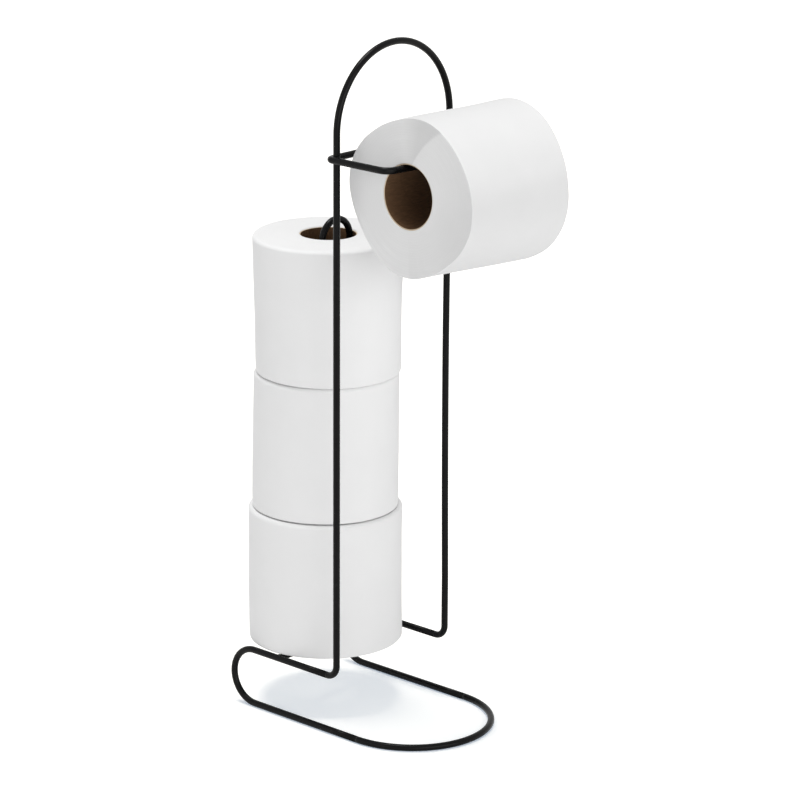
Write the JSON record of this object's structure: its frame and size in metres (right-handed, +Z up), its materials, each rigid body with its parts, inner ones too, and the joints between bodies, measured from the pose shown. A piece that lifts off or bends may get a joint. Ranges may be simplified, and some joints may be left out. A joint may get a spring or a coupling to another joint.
{
  "type": "toilet roll storage holder",
  "caption": "Freestanding bent-wire toilet roll holder: open side hook under a handle arch, spare rolls stacked on a rear hairpin post, wire foot loop on the floor.",
  "frame": {"origin": "on the floor, midway between the two uprights", "axes": "+Z up, +X across to the spindle's free end, -Y to the front, where the foot loop and the hanging roll are"},
  "size_m": [0.1269, 0.2333, 0.5],
  "materials": {
    "black_wire": "satin",
    "wire_weld": "satin",
    "core_card": "matte",
    "tissue": "matte"
  },
  "bodies": {
    "stand": {"upright_hoop": "black_wire", "left_runner": "black_wire", "right_runner": "black_wire", "foot_loop": "black_wire", "roll_hook": "black_wire", "roll_spindle": "black_wire", "post_bar": "black_wire", "reserve_post": "black_wire", "hook_welds": "wire_weld", "post_welds": "wire_weld"},
    "hanging_roll": {"hanging_roll_core": "core_card", "hanging_roll_paper": "tissue"},
    "bottom_roll": {"bottom_roll_core": "core_card", "bottom_roll_paper": "tissue"},
    "middle_roll": {"middle_roll_core": "core_card", "middle_roll_paper": "tissue"},
    "top_roll": {"top_roll_core": "core_card", "top_roll_paper": "tissue"}
  },
  "joints": [
    {"name": "hanging_roll_spin", "type": "hinge", "parent": "stand", "child": "hanging_roll", "pos_m": [0.00354, -0.05658, 0.40266], "axis": [0.9994, -0.0175, -0.0305], "continuous": true},
    {"name": "bottom_roll_lift", "type": "slide", "parent": "stand", "child": "bottom_roll", "axis": [0, 0, 1], "range_m": [0, 0.32]},
    {"name": "middle_roll_lift", "type": "slide", "parent": "bottom_roll", "child": "middle_roll", "axis": [0, 0, 1], "range_m": [0, 0.22]},
    {"name": "top_roll_lift", "type": "slide", "parent": "middle_roll", "child": "top_roll", "axis": [0, 0, 1], "range_m": [0, 0.12]}
  ]
}
